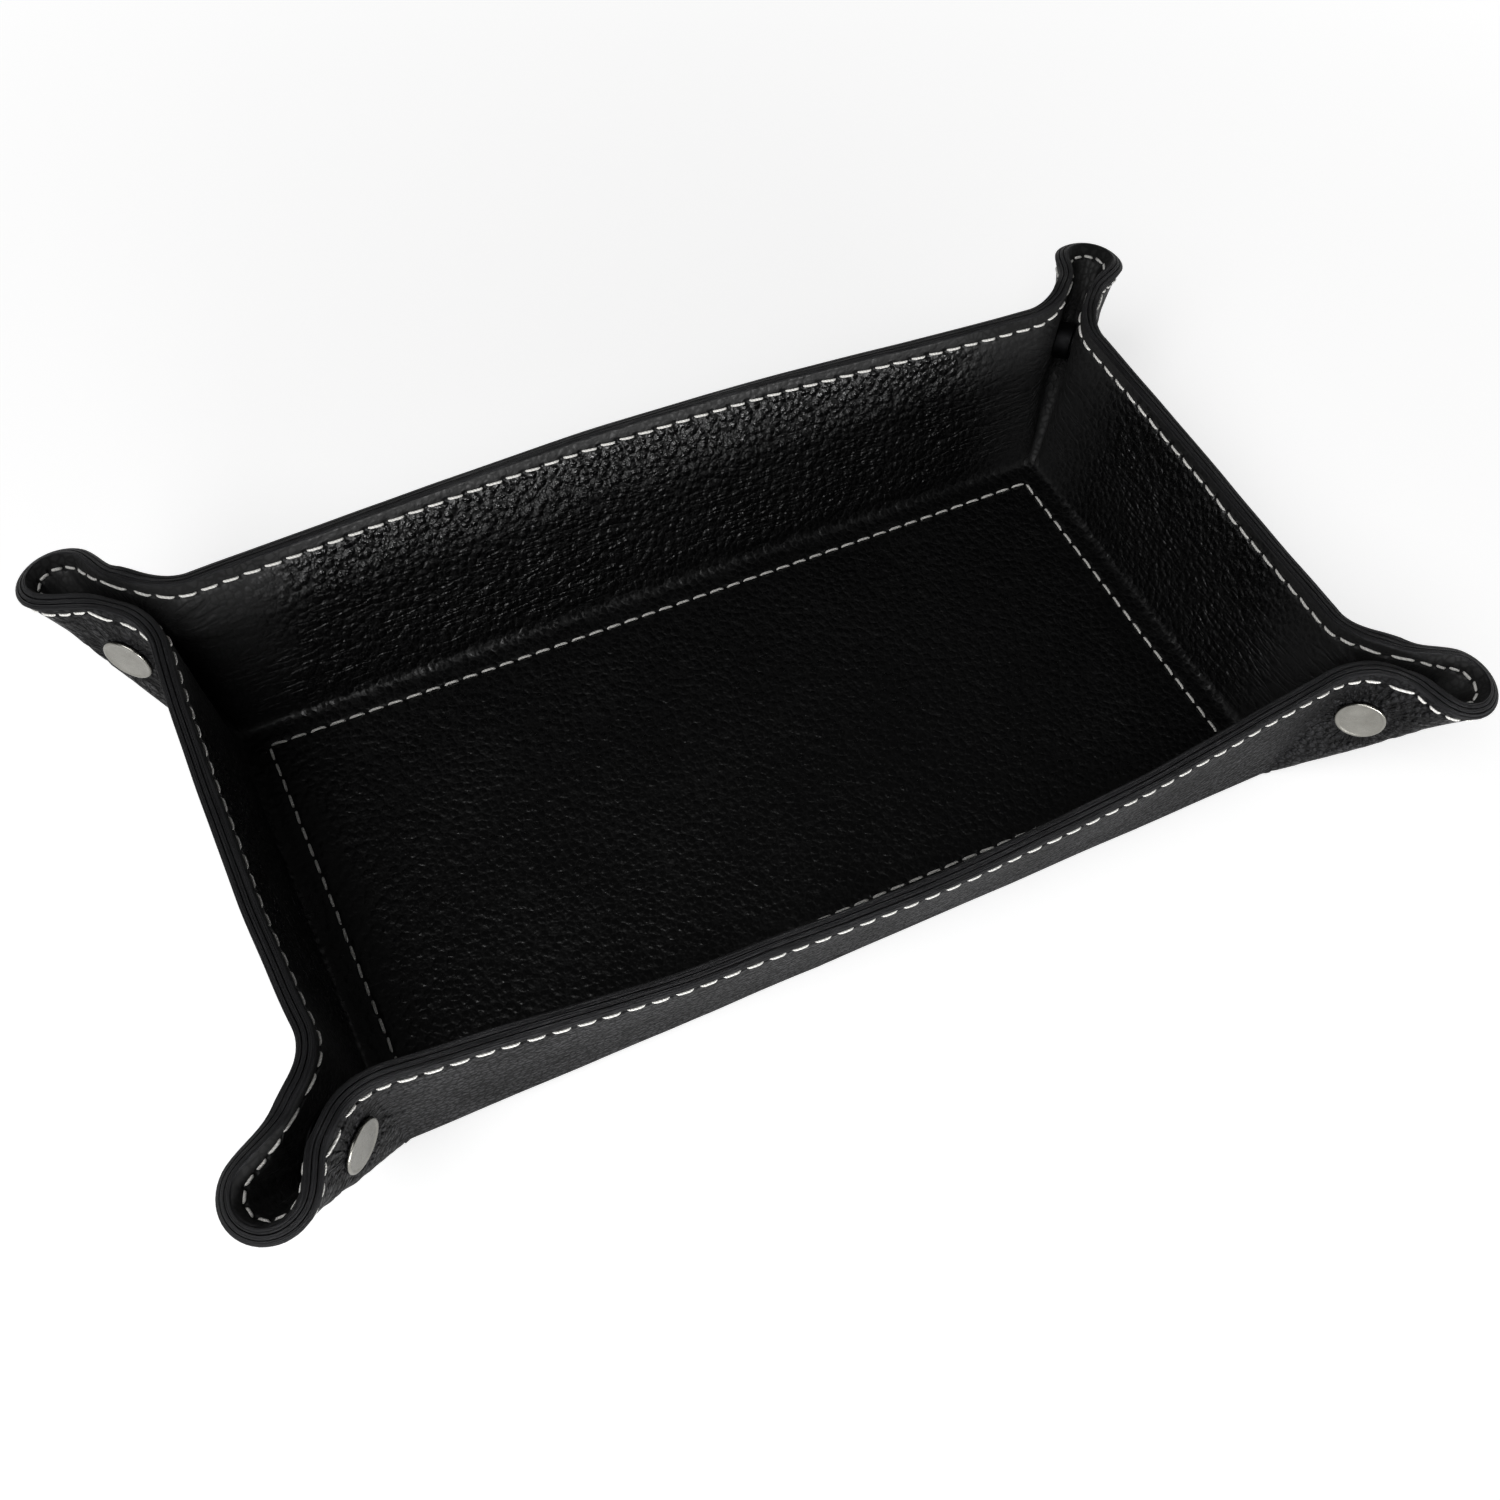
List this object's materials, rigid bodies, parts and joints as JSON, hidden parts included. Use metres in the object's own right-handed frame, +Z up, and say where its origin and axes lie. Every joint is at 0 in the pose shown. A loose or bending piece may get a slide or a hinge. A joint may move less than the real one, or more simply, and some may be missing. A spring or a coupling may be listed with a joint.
{
  "type": "leather valet tray",
  "caption": "Open rectangular valet tray of pebbled leather with white stitching, its corners pinched into ears by snap fasteners.",
  "frame": {"origin": "centre of the underside, at the height of the surface that the tray rests on", "axes": "+X along the length of the tray, +Y across it, +Z up out of its mouth"},
  "size_m": [0.2646, 0.1596, 0.0466],
  "materials": {
    "outer_leather": "pebbled full grain, satin",
    "lining_leather": "pebbled full grain, satin",
    "board": "bonded fibre board, matt",
    "thread": "twisted waxed thread",
    "nickel": "nickel plate, satin"
  },
  "bodies": {
    "root": {"outer_leather": "outer_leather", "wall_stiffener": "board", "base_board": "board", "lining": "lining_leather", "rim_thread_outside": "thread", "rim_thread_inside": "thread", "floor_thread_top": "thread", "floor_thread_under": "thread", "snap_cap_front_left": "nickel", "snap_socket_front_left": "nickel", "snap_stud_front_left": "nickel", "stud_cap_front_left": "nickel", "snap_cap_front_right": "nickel", "snap_socket_front_right": "nickel", "snap_stud_front_right": "nickel", "stud_cap_front_right": "nickel", "snap_cap_back_left": "nickel", "snap_socket_back_left": "nickel", "snap_stud_back_left": "nickel", "stud_cap_back_left": "nickel", "snap_cap_back_right": "nickel", "snap_socket_back_right": "nickel", "snap_stud_back_right": "nickel", "stud_cap_back_right": "nickel"}
  },
  "joints": []
}
